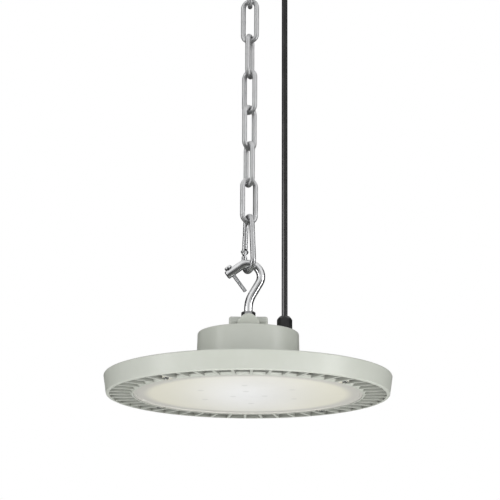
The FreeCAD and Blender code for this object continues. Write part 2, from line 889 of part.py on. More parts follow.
def hanging_hook():
    body = new_body("hanging_hook")
    path = sketch_on(body, "XZ_Plane")
    tip_end = along_tip(size("hook_tip"))
    shank = draw_line(path, (0, -size("hook_shank")), (0, 0))
    rise = draw_line(path, neck_end, rise_end)
    tip = draw_line(path, bend_end, tip_end)
    neck_centre = (size("hook_neck_radius"), 0)
    neck = draw_arc(path, neck_centre, (0, 0), neck_end, shank, rise, left=False)
    bend = draw_arc(path, bend_centre, rise_end, bend_end, rise, tip)
    hold(path, "Radius", (neck,), size("hook_neck_radius"))
    hold(path, "Radius", (bend,), size("hook_bend_radius"))
    doc.recompute()
    pipe(body, path, rod_radius)
    stud_top = -size("hook_shank")
    stud_length = size("hook_nut_tall") + size("hub_tall") + size("housing_roof") + size("hook_stud_inside")
    stud_foot = stud_top - stud_length
    stud = size("hook_stud_radius")
    turn_solid(body, [
        (0, stud_top),
        (stud, stud_top),
        (stud, stud_foot + stud * 0.2),
        (stud * 0.8, stud_foot),
        (0, stud_foot),
    ])
    end = flat(*tip_end)
    far = FreeCAD.Vector(end.x, 0, end.y)
    fillet(body, size("hook_tip_round"), lambda edge: edge.CenterOfMass.distanceToPoint(far) < 0.1)
    spot = along_tip(size("hook_tip") - size("screw_inset"))
    hole = body.newObject("PartDesign::SubtractiveCylinder", "screw_hole")
    bind(hole, "Radius", size("screw_radius") + size("thread_play"))
    bind(hole, "Height", size("hook_rod") * 2)
    lean = tip_heading - 180
    place(hole, spot[0] + size("hook_rod") * sine(lean), 0,
          spot[1] - size("hook_rod") * cosine(lean), -lean, FreeCAD.Vector(0, 1, 0))
    before = volume(body)
    doc.recompute()
    if volume(body) > before - 1:
        raise RuntimeError("the hook's screw hole cut nothing")
    place(body, z=hook_neck_z)
    return body


def hook_safety_screw():
    section = screw_section(
        size("screw_radius"), size("screw_length"), size("screw_head_radius"), size("screw_head_tall"))
    body = new_body("hook_safety_screw")
    turn_solid(body, section)
    spot = along_tip(size("hook_tip") - size("screw_inset"))
    lean = tip_heading - 180
    seat = rod_radius + size("link_play")
    place(body, spot[0] - seat * sine(lean), 0, hook_neck_z + spot[1] + seat * cosine(lean),
          -lean, FreeCAD.Vector(0, 1, 0))
    return body


def hook_lock_nut():
    hole = size("hook_stud_radius") + size("thread_play")
    body = nut("hook_lock_nut", size("hook_nut_flats"), size("hook_nut_tall"), hole)
    place(body, z=hub_top)
    return body


def hook_inner_nut():
    hole = size("hook_stud_radius") + size("thread_play")
    body = nut("hook_inner_nut", size("hook_nut_flats"), size("inner_nut_tall"), hole)
    place(body, z=roof_low - size("inner_nut_tall"))
    return body


# ---- driver housing and what it holds ---------------------------------------------------

def driver_housing():
    body = new_body("driver_housing")
    tall = size("housing_tall")
    roof = tall - size("housing_roof")
    hole = size("hook_stud_radius") + size("hole_play")
    turn_solid(body, [
        (hole, roof),
        (size("housing_radius") - size("housing_wall"), roof),
        (housing_foot - size("housing_wall"), 0),
        (housing_foot, 0),
        (size("housing_radius"), tall),
        (size("hub_foot_radius"), tall),
        (size("hub_radius"), tall + size("hub_tall")),
        (hole, tall + size("hub_tall")),
    ])
    fillet(body, size("housing_edge_round"), lambda edge: on_circle(edge, size("housing_radius"), tall))
    start = size("hook_nut_flats") / math.sqrt(3.0) + size("lobe_nut_gap")
    lobe = sketch_on(body, "YZ_Plane", start)
    draw_lobe(lobe, tall)
    repeat(body, pad(body, lobe, size("lobe_reach") - start), CORNERS)
    fillet(body, size("lobe_round"), lambda edge: lobe_end(edge, tall))
    boss = sketch_on(body, "XY_Plane")
    turned = size("housing_screw_turn")
    x = boss_circle * cosine(turned)
    y = boss_circle * sine(turned)
    draw_circle(boss, x, y, size("housing_boss_radius"))
    repeat(body, pad(body, boss, size("housing_boss_tall")), CORNERS)
    bore = sketch_on(body, "XY_Plane")
    draw_circle(bore, x, y, size("housing_screw_radius") + size("thread_play"))
    depth = size("housing_screw_depth") + size("overrun")
    repeat(body, pocket(body, bore, depth, upwards=True), CORNERS)
    cable_hole = sketch_on(body, "XY_Plane", tall)
    draw_circle(cable_hole, cable_x, 0, size("gland_thread_radius") + size("hole_play"))
    pocket(body, cable_hole, size("housing_roof"))
    place(body, z=housing_low)
    return body


def draw_lobe(sketch, roof):
    """The bell-shaped section of a hub lobe: straight sides, sloping shoulders, round crown."""
    half = size("lobe_width") / 2
    slope = size("lobe_slope")
    crown = size("lobe_crown")
    middle = roof + size("lobe_tall") - crown
    across = crown * sine(slope)
    high = middle + crown * cosine(slope)
    shoulder = high - (half - across) * sine(slope) / cosine(slope)
    low = roof - size("overrun")
    draw_line(sketch, (-half, low), (half, low))
    draw_line(sketch, (half, low), (half, shoulder))
    right_slope = draw_line(sketch, (half, shoulder), (across, high))
    left_slope = draw_line(sketch, (-across, high), (-half, shoulder))
    draw_line(sketch, (-half, shoulder), (-half, low))
    top = draw_arc(sketch, (0, middle), (across, high), (-across, high), right_slope, left_slope)
    hold(sketch, "Radius", (top,), crown)


def lobe_end(edge, roof):
    """The outline of a hub lobe's outer end, above the housing's roof."""
    box = edge.BoundBox
    reach = size("lobe_reach").value
    across_x = box.XLength < NEAR and abs(abs(box.XMin) - reach) < NEAR
    across_y = box.YLength < NEAR and abs(abs(box.YMin) - reach) < NEAR
    return (across_x or across_y) and box.ZMax > roof.value + NEAR


def housing_gasket():
    body = new_body("housing_gasket")
    outer = pad_radius - size("gasket_edge") * 2
    inner = pad_radius - size("pad_width") + size("gasket_edge")
    thick = size("gasket_thick")
    turn_solid(body, [(inner, 0), (outer, 0), (outer, thick), (inner, thick)])
    hole = sketch_on(body, "XY_Plane")
    turned = size("housing_screw_turn")
    x = boss_circle * cosine(turned)
    y = boss_circle * sine(turned)
    draw_circle(hole, x, y, size("housing_screw_radius") + size("hole_play"))
    repeat(body, pocket(body, hole, thick, upwards=True), CORNERS)
    place(body, z=housing_low - thick)
    return body


def housing_screws():
    seat = size("housing_head_tall") + size("head_play")
    length = base_top_z - plate_under - seat + size("pad_tall") + size("gasket_thick")
    length = length + size("housing_screw_depth")
    section = screw_section(
        size("housing_screw_radius"), length, size("housing_head_radius"), size("housing_head_tall"))
    section = shifted(section, 0, over=True)
    body = screws("housing_screws", boss_circle, CORNERS, section)
    place(body, z=disc_low + plate_under + seat, turn=size("housing_screw_turn"))
    return body


def thermal_pad():
    body = new_body("thermal_pad")
    turn_solid(body, [
        (0, 0),
        (driver_radius - size("thermal_pad_inset"), 0),
        (driver_radius - size("thermal_pad_inset"), size("thermal_pad_thick")),
        (0, size("thermal_pad_thick")),
    ])
    place(body, z=disc_low + base_top_z)
    return body


def driver_module():
    body = new_body("driver_module")
    tall = size("driver_tall")
    wide = driver_radius
    lid = wide - size("driver_lid_inset")
    turn_solid(body, [
        (0, 0),
        (wide - size("driver_edge"), 0),
        (wide, size("driver_edge")),
        (wide, tall - size("driver_lid_tall")),
        (lid, tall - size("driver_lid_tall")),
        (lid - size("driver_lid_tall"), tall),
        (0, tall),
    ])
    place(body, z=disc_low + base_top_z + size("thermal_pad_thick"))
    return body


driver_top = disc_low + base_top_z + size("thermal_pad_thick") + size("driver_tall")


def terminal_block():
    body = new_body("terminal_block")
    block = sketch_on(body, "XY_Plane")
    near = cable_x - size("terminal_inset")
    half = size("terminal_long") / 2
    far = near + size("terminal_wide")
    draw_loop(block, [(near, -half), (far, -half), (far, half), (near, half)])
    pad(body, block, size("terminal_tall"))
    place(body, z=driver_top)
    return body


# ---- cable gland and cable ----------------------------------------------------------------

gland_bore = size("cable_radius") + size("cable_play")
stem_low = size("gland_collar_tall")
stem_top = stem_low + size("gland_stem_tall")
cap_low = stem_low + size("gland_cap_gap")
cap_top = cap_low + size("gland_cap_tall")


def gland_body():
    body = new_body("gland_body")
    hex_piece(body, size("gland_flats"), size("gland_collar_tall"), gland_bore)
    dull_corners(body, size("gland_flats"), term(0), size("gland_collar_tall"), foot=False)
    turn_solid(body, [
        (gland_bore, 0),
        (gland_bore, -size("gland_spigot")),
        (size("gland_thread_radius"), -size("gland_spigot")),
        (size("gland_thread_radius"), 0),
    ])
    turn_solid(body, [
        (gland_bore, stem_low),
        (size("gland_stem_radius"), stem_low),
        (size("gland_stem_radius"), stem_top),
        (gland_bore, stem_top),
    ])
    place(body, x=cable_x, z=housing_top)
    return body


def gland_seal():
    body = new_body("gland_seal")
    outer = size("gland_stem_radius") - size("hole_play")
    turn_solid(body, [
        (gland_bore, stem_top),
        (outer, stem_top),
        (outer, stem_top + size("gland_seal_tall")),
        (gland_bore, stem_top + size("gland_seal_tall")),
    ])
    place(body, x=cable_x, z=housing_top)
    return body


def gland_cap():
    body = new_body("gland_cap")
    hex_piece(body, size("gland_cap_flats"), size("gland_cap_tall"), gland_bore + size("cable_play"), cap_low)
    hollow = stem_top + size("gland_seal_tall") + size("hole_play")
    inside = size("gland_stem_radius") + size("thread_play")
    under = cap_low - size("overrun")
    turn_away(body, [(0, under), (inside, under), (inside, hollow), (0, hollow)])
    corner = size("gland_cap_flats") / math.sqrt(3.0) + size("overrun")
    shoulder = cap_top - size("gland_cap_crown_drop")
    turn_away(body, [
        (size("gland_cap_crown"), cap_top + size("overrun")),
        (size("gland_cap_crown"), cap_top),
        (size("gland_cap_shoulder"), shoulder),
        (corner, cap_top - size("gland_cap_shoulder_drop")),
        (corner, cap_top + size("overrun")),
    ])
    place(body, x=cable_x, z=housing_top)
    return body


def gland_lock_nut():
    hole = size("gland_thread_radius") + size("thread_play")
    body = nut("gland_lock_nut", size("gland_nut_flats"), size("gland_nut_tall"), hole)
    place(body, x=cable_x, z=roof_low - size("gland_nut_tall"))
    return body


def cable():
    """The supply cable: one straight run from the terminals to the ceiling grip."""
    tube = doc.addObject("Part::Cylinder", "cable")
    tube.Label = "cable"
    low = driver_top + size("terminal_tall")
    high = -size("grip_top_gap")
    bind(tube, "Radius", size("cable_radius"))
    bind(tube, "Height", high - low)
    place(tube, x=cable_x, z=low)
    return tube


# ---- cast body: rim, slots, fins and plate ---------------------------------------------------

def rim_middle(height):
    """The middle of the sloping rim wall at a height."""
    slope = (rim_top - rim_foot) / size("rim_tall")
    return rim_foot - size("rim_wall") / 2 + slope * height


def fin_top(radius):
    """The height of the fins' sloping top edge at a radius."""
    far = rim_middle(size("fin_low"))
    fall = (size("fin_high") - size("fin_low")) / (far - fin_start)
    return size("fin_high") - (radius - fin_start) * fall


def around(radius, turned, across=0):
    """A point at a radius in a turned direction, with a step across it."""
    across = term(across)
    return (
        radius * cosine(turned) - across * sine(turned),
        radius * sine(turned) + across * cosine(turned),
    )


def heat_sink():
    body = new_body("heat_sink")
    ring = ring_radius
    bevel = size("ring_bevel")
    pad_inner = pad_radius - size("pad_width")
    turn_solid(body, [
        (0, plate_under),
        (ring_inner, plate_under),
        (ring_inner, 0),
        (ring - bevel, 0),
        (ring, bevel),
        (ring, base_top_z),
        (pad_radius, base_top_z),
        (pad_radius, pad_top_z),
        (pad_inner, pad_top_z),
        (pad_inner, base_top_z),
        (0, base_top_z),
    ])
    root_low = base_top_z - size("base_thick") / 2
    ring_mid = ring - size("ring_wall") / 2
    blades = int(round(size("blade_count").value))
    for start, turned in ((fin_start, term(0)), (size("short_fin_start"), term(180) / size("blade_count"))):
        blade = sketch_on(body, "XZ_Plane", turned=turned)
        draw_loop(blade, [
            (start, root_low),
            (start, fin_top(start)),
            (rim_middle(size("fin_low")), size("fin_low")),
            (rim_middle(term(0)), 0),
            (ring_mid, 0),
            (ring_mid, root_low),
        ])
        repeat(body, pad(body, blade, size("blade_thick"), both_ways=True), blades)
    turn_solid(body, [
        (rim_foot - size("rim_wall"), 0),
        (rim_foot, 0),
        (rim_top, size("rim_tall")),
        (rim_top - size("rim_wall"), size("rim_tall")),
    ])
    fillet(body, size("rim_round"), lambda edge: on_circle(edge, rim_top) or on_circle(edge, rim_foot))
    turned = size("ear_turn")
    boss = sketch_on(body, "XY_Plane", lens_top_z)
    draw_circle(boss, *around(ear_circle, turned), size("boss_radius"))
    repeat(body, pad(body, boss, base_top_z - lens_top_z), CORNERS)
    notch = sketch_on(body, "XY_Plane")
    half = size("ear_radius") + size("ear_play")
    draw_loop(notch, [
        around(ring_inner - size("overrun"), turned, -half),
        around(ring + size("overrun"), turned, -half),
        around(ring + size("overrun"), turned, half),
        around(ring_inner - size("overrun"), turned, half),
    ])
    repeat(body, pocket(body, notch, lens_top_z, upwards=True), CORNERS)
    thread = sketch_on(body, "XY_Plane", lens_top_z)
    draw_circle(thread, *around(ear_circle, turned), size("lens_screw_radius") + size("thread_play"))
    repeat(body, pocket(body, thread, size("lens_screw_depth"), upwards=True), CORNERS)
    board_thread = sketch_on(body, "XY_Plane", plate_under)
    draw_circle(board_thread, board_screw_circle, 0, size("board_screw_radius") + size("thread_play"))
    board_depth = size("board_screw_depth") + size("thread_spare")
    repeat(body, pocket(body, board_thread, board_depth, upwards=True), BOARD_SCREWS)
    turned = size("housing_screw_turn") - size("disc_turn")
    through = sketch_on(body, "XY_Plane", plate_under)
    spot = around(boss_circle, turned)
    draw_circle(through, *spot, size("housing_screw_radius") + size("hole_play"))
    repeat(body, pocket(body, through, pad_top_z - plate_under, upwards=True), CORNERS)
    sunk = sketch_on(body, "XY_Plane", plate_under)
    draw_circle(sunk, *spot, size("housing_head_radius") + size("head_play"))
    repeat(body, pocket(body, sunk, size("housing_head_tall") + size("head_play"), upwards=True), CORNERS)
    place(body, z=disc_low, turn=size("disc_turn"))
    return body


# ---- light engine and lens -------------------------------------------------------------------

def led_board():
    body = new_body("led_board")
    low = plate_under - size("board_thick")
    turn_solid(body, [
        (size("board_hole"), low),
        (board_radius, low),
        (board_radius, plate_under),
        (size("board_hole"), plate_under),
    ])
    hole = sketch_on(body, "XY_Plane", low)
    draw_circle(hole, board_screw_circle, 0, size("board_screw_radius") + size("hole_play"))
    repeat(body, pocket(body, hole, size("board_thick"), upwards=True), BOARD_SCREWS)
    place(body, z=disc_low, turn=size("disc_turn"))
    return body


def board_screws():
    length = size("board_thick") + size("board_screw_depth")
    section = screw_section(
        size("board_screw_radius"), length, size("board_head_radius"), size("board_head_tall"))
    body = screws("board_screws", board_screw_circle, BOARD_SCREWS, shifted(section, 0, over=True))
    place(body, z=disc_low + plate_under - size("board_thick"), turn=size("disc_turn"))
    return body


def leds():
    body = new_body("leds", many=True)
    half = size("led_size") / 2
    circle = board_screw_circle - size("led_ring_gap")
    for inward, count in enumerate(LED_RINGS):
        chip = sketch_on(body, "XY_Plane")
        near = circle - size("led_ring_step") * inward - half
        far = near + size("led_size")
        draw_loop(chip, [(near, -half), (far, -half), (far, half), (near, half)])
        repeat(body, pad(body, chip, size("led_tall")), count)
    low = plate_under - size("board_thick") - size("led_tall")
    place(body, z=disc_low + low, turn=size("disc_turn"))
    return body


def lens_gasket():
    body = new_body("lens_gasket")
    inner = lens_radius - size("seal_width")
    turn_solid(body, [
        (inner, lens_top_z),
        (lens_radius, lens_top_z),
        (lens_radius, plate_under),
        (inner, plate_under),
    ])
    place(body, z=disc_low, turn=size("disc_turn"))
    return body


def lens_cover():
    body = new_body("lens_cover")
    field = lens_radius - size("lens_border")
    low = size("lens_inset")
    turn_solid(body, [
        (0, low + size("lens_step")),
        (field, low + size("lens_step")),
        (field + size("lens_step"), low),
        (lens_radius, low),
        (lens_radius, lens_top_z),
        (0, lens_top_z),
    ])
    turned = size("ear_turn")
    half = size("ear_radius")
    arm = sketch_on(body, "XY_Plane", ear_low_z)
    draw_loop(arm, [
        around(lens_radius - size("overrun"), turned, -half),
        around(ear_circle, turned, -half),
        around(ear_circle, turned, half),
        around(lens_radius - size("overrun"), turned, half),
    ])
    repeat(body, pad(body, arm, size("ear_thick")), CORNERS)
    tip = sketch_on(body, "XY_Plane", ear_low_z)
    draw_circle(tip, *around(ear_circle, turned), half)
    repeat(body, pad(body, tip, size("ear_thick")), CORNERS)
    hole = sketch_on(body, "XY_Plane", ear_low_z)
    draw_circle(hole, *around(ear_circle, turned), size("lens_screw_radius") + size("hole_play"))
    repeat(body, pocket(body, hole, size("ear_thick"), upwards=True), CORNERS)
    place(body, z=disc_low, turn=size("disc_turn"))
    return body


def lens_screws():
    length = size("ear_thick") + size("lens_screw_depth") - size("thread_play")
    section = screw_section(
        size("lens_screw_radius"), length, size("lens_head_radius"), size("lens_head_tall"))
    body = screws("lens_screws", ear_circle, CORNERS, shifted(section, 0, over=True))
    place(body, z=disc_low + ear_low_z, turn=size("disc_turn") + size("ear_turn"))
    return body


PIECES = [
    ceiling_plate(),
    ceiling_eye(),
    eye_lock_nut(),
    ceiling_cord_grip(),
    *[chain_link(number) for number in range(1, LINKS + 1)],
    snap_hook_body(),
    snap_hook_gate(),
    snap_hook_rivet(),
    hanging_hook(),
    hook_safety_screw(),
    hook_lock_nut(),
    hook_inner_nut(),
    driver_housing(),
    housing_gasket(),
    housing_screws(),
    thermal_pad(),
    driver_module(),
    terminal_block(),
    gland_body(),
    gland_seal(),
    gland_cap(),
    gland_lock_nut(),
    cable(),
    heat_sink(),
    led_board(),
    board_screws(),
    leds(),
    lens_gasket(),
    lens_cover(),
    lens_screws(),
]
doc.recompute()

for thing in doc.Objects:
    if "Invalid" in thing.State or "Error" in thing.State:
        raise RuntimeError(f"{thing.Label} did not build: {thing.State}")
os.makedirs("parts", exist_ok=True)
for piece in PIECES:
    if piece.Shape.isNull() or not piece.Shape.isValid():
        raise RuntimeError(f"{piece.Label} has no sound shape")
    piece.Shape.exportStep(f"parts/{piece.Label}.step")
    print(f"{piece.Label}: {len(piece.Shape.Solids)} solid(s), {piece.Shape.Volume:.0f} mm3")
print(f"overall height {-disc_low.value:.2f} mm")
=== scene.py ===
import bmesh
import bpy
import json
import math
from mathutils import Matrix, Vector


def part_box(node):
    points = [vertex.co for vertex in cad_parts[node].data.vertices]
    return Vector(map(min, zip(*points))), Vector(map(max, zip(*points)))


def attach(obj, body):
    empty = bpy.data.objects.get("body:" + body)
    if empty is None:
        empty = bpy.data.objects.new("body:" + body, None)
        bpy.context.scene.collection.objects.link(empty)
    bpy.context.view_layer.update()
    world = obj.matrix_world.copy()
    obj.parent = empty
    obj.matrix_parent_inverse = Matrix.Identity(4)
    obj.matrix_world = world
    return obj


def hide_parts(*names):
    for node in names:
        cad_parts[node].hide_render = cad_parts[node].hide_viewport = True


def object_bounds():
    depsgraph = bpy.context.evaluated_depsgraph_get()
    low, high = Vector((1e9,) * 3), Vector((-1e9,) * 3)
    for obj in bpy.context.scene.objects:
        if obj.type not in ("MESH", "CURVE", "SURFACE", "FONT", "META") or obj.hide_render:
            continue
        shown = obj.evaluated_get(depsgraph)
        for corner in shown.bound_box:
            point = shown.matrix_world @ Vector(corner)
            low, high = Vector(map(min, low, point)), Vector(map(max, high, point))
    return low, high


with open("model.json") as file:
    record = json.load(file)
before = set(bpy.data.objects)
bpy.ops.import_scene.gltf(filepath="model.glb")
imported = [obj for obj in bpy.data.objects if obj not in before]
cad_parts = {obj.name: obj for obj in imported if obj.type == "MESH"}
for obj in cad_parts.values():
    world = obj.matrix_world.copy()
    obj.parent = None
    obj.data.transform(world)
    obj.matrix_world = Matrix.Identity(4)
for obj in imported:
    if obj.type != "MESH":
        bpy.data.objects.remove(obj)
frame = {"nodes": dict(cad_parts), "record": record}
cad_low, cad_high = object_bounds()
nodes = frame["nodes"]
bpy.ops.object.select_all(action="DESELECT")

# Heights in metres from the ceiling face: the lowest side of the light, and the studio floor.
DISC_LOW = cad_low[2]
FLOOR_Z = -2.8
FLOOR_WIDE = 40.0

# The supply cable: taut from inside the gland up to the cone at the ceiling plate, in metres.
cable_low, cable_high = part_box("cable")
CABLE_X = (cable_low[0] + cable_high[0]) / 2
CABLE_RADIUS = (cable_high[0] - cable_low[0]) / 2
CABLE_IN_GLAND = 0.026
GLAND_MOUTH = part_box("gland_cap")[1][2]
CABLE_START = GLAND_MOUTH - CABLE_IN_GLAND
CABLE_END = cable_high[2]
CABLE_ROUTE = (CABLE_START, GLAND_MOUTH, -0.24, -0.06, CABLE_END)

# Screws: an M4 across the hook's mouth and M3 through the lens ears, in metres.
SAFETY_SCREW_RADIUS = 0.0020
SAFETY_SCREW_PITCH = 0.0007
SAFETY_HEAD_TALL = 0.0028
LENS_SCREW_RADIUS = 0.0015
LENS_SCREW_PITCH = 0.0005
LENS_HEAD_RADIUS = 0.0029
LENS_HEAD_TALL = 0.0013
RECESS_TURNS = (0.4, 1.2, 0.7, 2.0)
# A thread is a triangle wound up in steps. Its depth is a share of an even-sided triangle's,
# its inner side lies further in than a share of the pitch, and a few turns are cut off.
THREAD_FLATNESS = 0.7
THREAD_INNER = 0.3
THREAD_STEPS = 24
THREAD_SPARE_TURNS = 3
THREAD_MERGE = 0.01
# A pan head: the roundings of its crown and foot and the thread's reach into it as shares of
# its height, and the bars of its cross recess as shares of its radius and height.
HEAD_CORNERS = 48
HEAD_CROWN = 0.42
HEAD_FOOT_ROUND = 0.06
SHANK_IN_HEAD = 0.2
RECESS_LONG = 1.15
RECESS_WIDE = 0.26
RECESS_DEEP = 1.3
RECESS_TAPER = 0.55
SMOOTH_ANGLE = math.radians(32.0)
# How often the search for a screw's long axis is sharpened.
AXIS_ROUNDS = 40

# The frosted lens: colours, and radii in metres from the middle of the light; its cream is a
# painted reflection.
LENS_CREAM = (0.755, 0.735, 0.625, 1.0)
LENS_SPOT = (0.50, 0.50, 0.47, 1.0)
LENS_BORDER = (0.560, 0.550, 0.505, 1.0)
# The painted reflection: the radii where its cream starts and is full, and how little the depth
# counts.
CREAM_REFLECTION_SPAN = (-0.005, 0.100)
CREAM_REFLECTION_DEPTH = 0.2
BORDER_SPAN = (0.0990, 0.1110)
LENS_EDGE = (0.1180, 0.1186)
SPOT_SPAN = (0.0042, 0.0022)
SPOT_STRENGTH = 0.34
# Circles of faint spots: radius in metres, how many, and where the first one stands.
SPOTS = ((0.054, 6, 0.06), (0.019, 3, 0.30))

# Worn edges: how far a rounded normal leans from the face's, and the noise that breaks them.
WEAR_LEAN = (0.985, 0.86)
WEAR_BREAKS = (0.38, 0.62)

# Mottled tone: how much finer the second cloud is, the share of each, and the span kept.
FINE_TIMES = 6.5
BROAD_SHARE = 0.65
FINE_SHARE = 0.35
TONE_SPAN = (0.34, 0.66)

# Grain and drawn lines: the cells beside the swell, the lines' stretch, the height in metres.
CELL_SHARE = 0.7
DRAWN_STRETCH = (1.0, 1.0, 0.03)
BUMP_DEPTH = 0.0001

# Painted shade in deep corners: how closed they are, the cloud that varies it, and how dark it
# gets.
CLOSED_SPAN = (0.80, 0.25)
CLOUD_SCALE = 90.0
CLOUD_SPAN = (0.2, 0.7)
CLOUD_LEAST = 0.75
CORNER_SHADE = (0.36, 0.35, 0.35)

# The studio as a light: its brightness behind, in front and above, and the parts of a
# direction over which it changes.
WORLD_BACK = 0.01
WORLD_FRONT = 0.49
WORLD_TOP = 0.45
WORLD_FRONT_SPAN = (0.15, -0.75)
WORLD_TOP_SPAN = (0.25, 0.85)

# The studio as metal and gloss mirror it: bright in front and dark behind, turned a little,
# with a dimmer gap in the middle, dark below the horizon and bright overhead.
MIRROR_BRIGHT = 1.1
MIRROR_DARK = 0.04
MIRROR_TURN = 0.12
MIRROR_GAP = 0.35
MIRROR_HORIZON = 0.03
MIRROR_TOP = 1.0
MIRROR_FLOOR = 0.12
MIRROR_FRONT_SPAN = (-0.28, 0.04)
MIRROR_GAP_SPAN = (0.08, 0.24)
MIRROR_HORIZON_SPAN = (0.02, 0.15)
MIRROR_TOP_SPAN = (0.45, 0.75)

# Colours of the studio.
WHITE = (1.0, 1.0, 1.0, 1.0)
COOL_WHITE = (0.97, 0.985, 1.0, 1.0)
FLOOR_PAINT = (0.82, 0.82, 0.81, 1.0)
FLOOR_PALE = (0.95, 0.95, 0.945, 1.0)

# The lamps: name, place, width and height, power, and whether metal mirrors them.
LAMPS = (
    ("left soft box", (-1.22, -1.45, -0.60), (0.5, 1.0), 8.6, False),
    ("left strip", (-1.74, -0.77, -0.60), (0.5, 1.4), 8.5, True),
    ("right soft box", (1.30, -1.38, -0.60), (0.5, 1.0), 6.0, False),
    ("right strip", (1.74, -0.77, -0.60), (0.5, 1.4), 12.0, True),
    ("low front card", (0.0, -1.0, -1.60), (0.8, 0.5), 4.2, False),
    ("low fill", (0.12, -0.1, -1.25), (0.5, 0.5), 3.2, False),
    ("back soft box", (0.0, 2.0, 0.5), (1.6, 1.0), 14.0, False),
)
CABLE_LAMP = ("cable soft box", (-1.50, -1.15, -0.40), (2.2, 1.4), 66.0, True)
LAMP_AIM = (0.0, 0.0, -0.48)

# The camera: lens and sensor in millimetres, place and nearest and farthest view in metres,
# tilt from straight down and roll in degrees.
CAMERA_LENS = 126.4
CAMERA_SENSOR = 36.0
CAMERA_PLACE = (0.00135, -1.799, DISC_LOW - 0.3142)
CAMERA_TILT = 90.0 + 14.66
CAMERA_ROLL = 0.3
CAMERA_NEAR = 0.05
CAMERA_FAR = 60.0


# ---------------------------------------------------------------- node groups
def new_group(name, inputs, outputs):
    """An empty shader node group with its sockets, its input node and its output node."""
    group = bpy.data.node_groups.new(name, "ShaderNodeTree")
    for title, kind, value in inputs:
        socket = group.interface.new_socket(title, in_out="INPUT", socket_type=kind)
        if value is not None:
            socket.default_value = value
    for title, kind in outputs:
        group.interface.new_socket(title, in_out="OUTPUT", socket_type=kind)
    source = group.nodes.new("NodeGroupInput")
    result = group.nodes.new("NodeGroupOutput")
    return group, source, result


def add(tree, kind, **settings):
    """A new node with its settings; gives the node."""
    node = tree.nodes.new(kind)
    for key, value in settings.items():
        setattr(node, key, value)
    return node


def join(tree, output, entry):
    """Links an output socket to an input socket."""
    tree.links.new(output, entry)


def maths(tree, operation, a, b=None):
    """A Math node on sockets or plain numbers; gives its output socket."""
    node = add(tree, "ShaderNodeMath", operation=operation)
    for place, value in enumerate((a, b)):
        if value is None:
            continue
        if isinstance(value, (int, float)):
            node.inputs[place].default_value = value
        else:
            join(tree, value, node.inputs[place])
    return node.outputs[0]


def spread(tree, value, low, high, to_low=0.0, to_high=1.0, smooth=True):
    """Maps a value from one span to another, held at both ends."""
    node = add(tree, "ShaderNodeMapRange", clamp=True)
    if smooth:
        node.interpolation_type = "SMOOTHSTEP"
    join(tree, value, node.inputs["Value"])
    for title, number in (("From Min", low), ("From Max", high),
                          ("To Min", to_low), ("To Max", to_high)):
        node.inputs[title].default_value = number
    return node.outputs["Result"]


def blend_colours(tree, factor, a, b):
    """A colour mix on sockets or plain colours; gives its output socket."""
    node = add(tree, "ShaderNodeMix", data_type="RGBA")
    # A colour mix has its factor on socket 0, its colours on 6 and 7, and gives output 2.
    for title, value in ((0, factor), (6, a), (7, b)):
        if isinstance(value, (int, float, tuple)):
            node.inputs[title].default_value = value
        else:
            join(tree, value, node.inputs[title])
    return node.outputs[2]


def edge_wear_group():
    """A mask that is 1 on the worn line along outside edges."""
    group, source, result = new_group(
        "edge wear",
        [("Vector", "NodeSocketVector", None),
         ("Width", "NodeSocketFloat", 0.0006),
         ("Breaks", "NodeSocketFloat", 350.0)],
        [("Mask", "NodeSocketFloat")])
    rounded = add(group, "ShaderNodeBevel", samples=6)
    join(group, source.outputs["Width"], rounded.inputs["Radius"])
    plain = add(group, "ShaderNodeNewGeometry")
    lean = add(group, "ShaderNodeVectorMath", operation="DOT_PRODUCT")
    join(group, rounded.outputs["Normal"], lean.inputs[0])
    join(group, plain.outputs["Normal"], lean.inputs[1])
    edge = spread(group, lean.outputs["Value"], *WEAR_LEAN)
    patches = add(group, "ShaderNodeTexNoise")
    patches.inputs["Detail"].default_value = 4.0
    join(group, source.outputs["Vector"], patches.inputs["Vector"])
    join(group, source.outputs["Breaks"], patches.inputs["Scale"])
    broken = spread(group, patches.outputs["Fac"], *WEAR_BREAKS)
    join(group, maths(group, "MULTIPLY", edge, broken), result.inputs["Mask"])
    return group


def mottle_group():
    """Slow changes of tone with a finer cloud in them, from 0 to 1."""
    group, source, result = new_group(
        "mottle",
        [("Vector", "NodeSocketVector", None),
         ("Scale", "NodeSocketFloat", 30.0)],
        [("Tone", "NodeSocketFloat")])
    broad = add(group, "ShaderNodeTexNoise")
    broad.inputs["Detail"].default_value = 3.0
    fine = add(group, "ShaderNodeTexNoise")
    fine.inputs["Detail"].default_value = 5.0
    fine_scale = maths(group, "MULTIPLY", source.outputs["Scale"], FINE_TIMES)
    join(group, source.outputs["Vector"], broad.inputs["Vector"])
    join(group, source.outputs["Vector"], fine.inputs["Vector"])
    join(group, source.outputs["Scale"], broad.inputs["Scale"])
    join(group, fine_scale, fine.inputs["Scale"])
    broad_part = maths(group, "MULTIPLY", broad.outputs["Fac"], BROAD_SHARE)
    fine_part = maths(group, "MULTIPLY", fine.outputs["Fac"], FINE_SHARE)
    total = maths(group, "ADD", broad_part, fine_part)
    join(group, spread(group, total, *TONE_SPAN), result.inputs["Tone"])
    return group


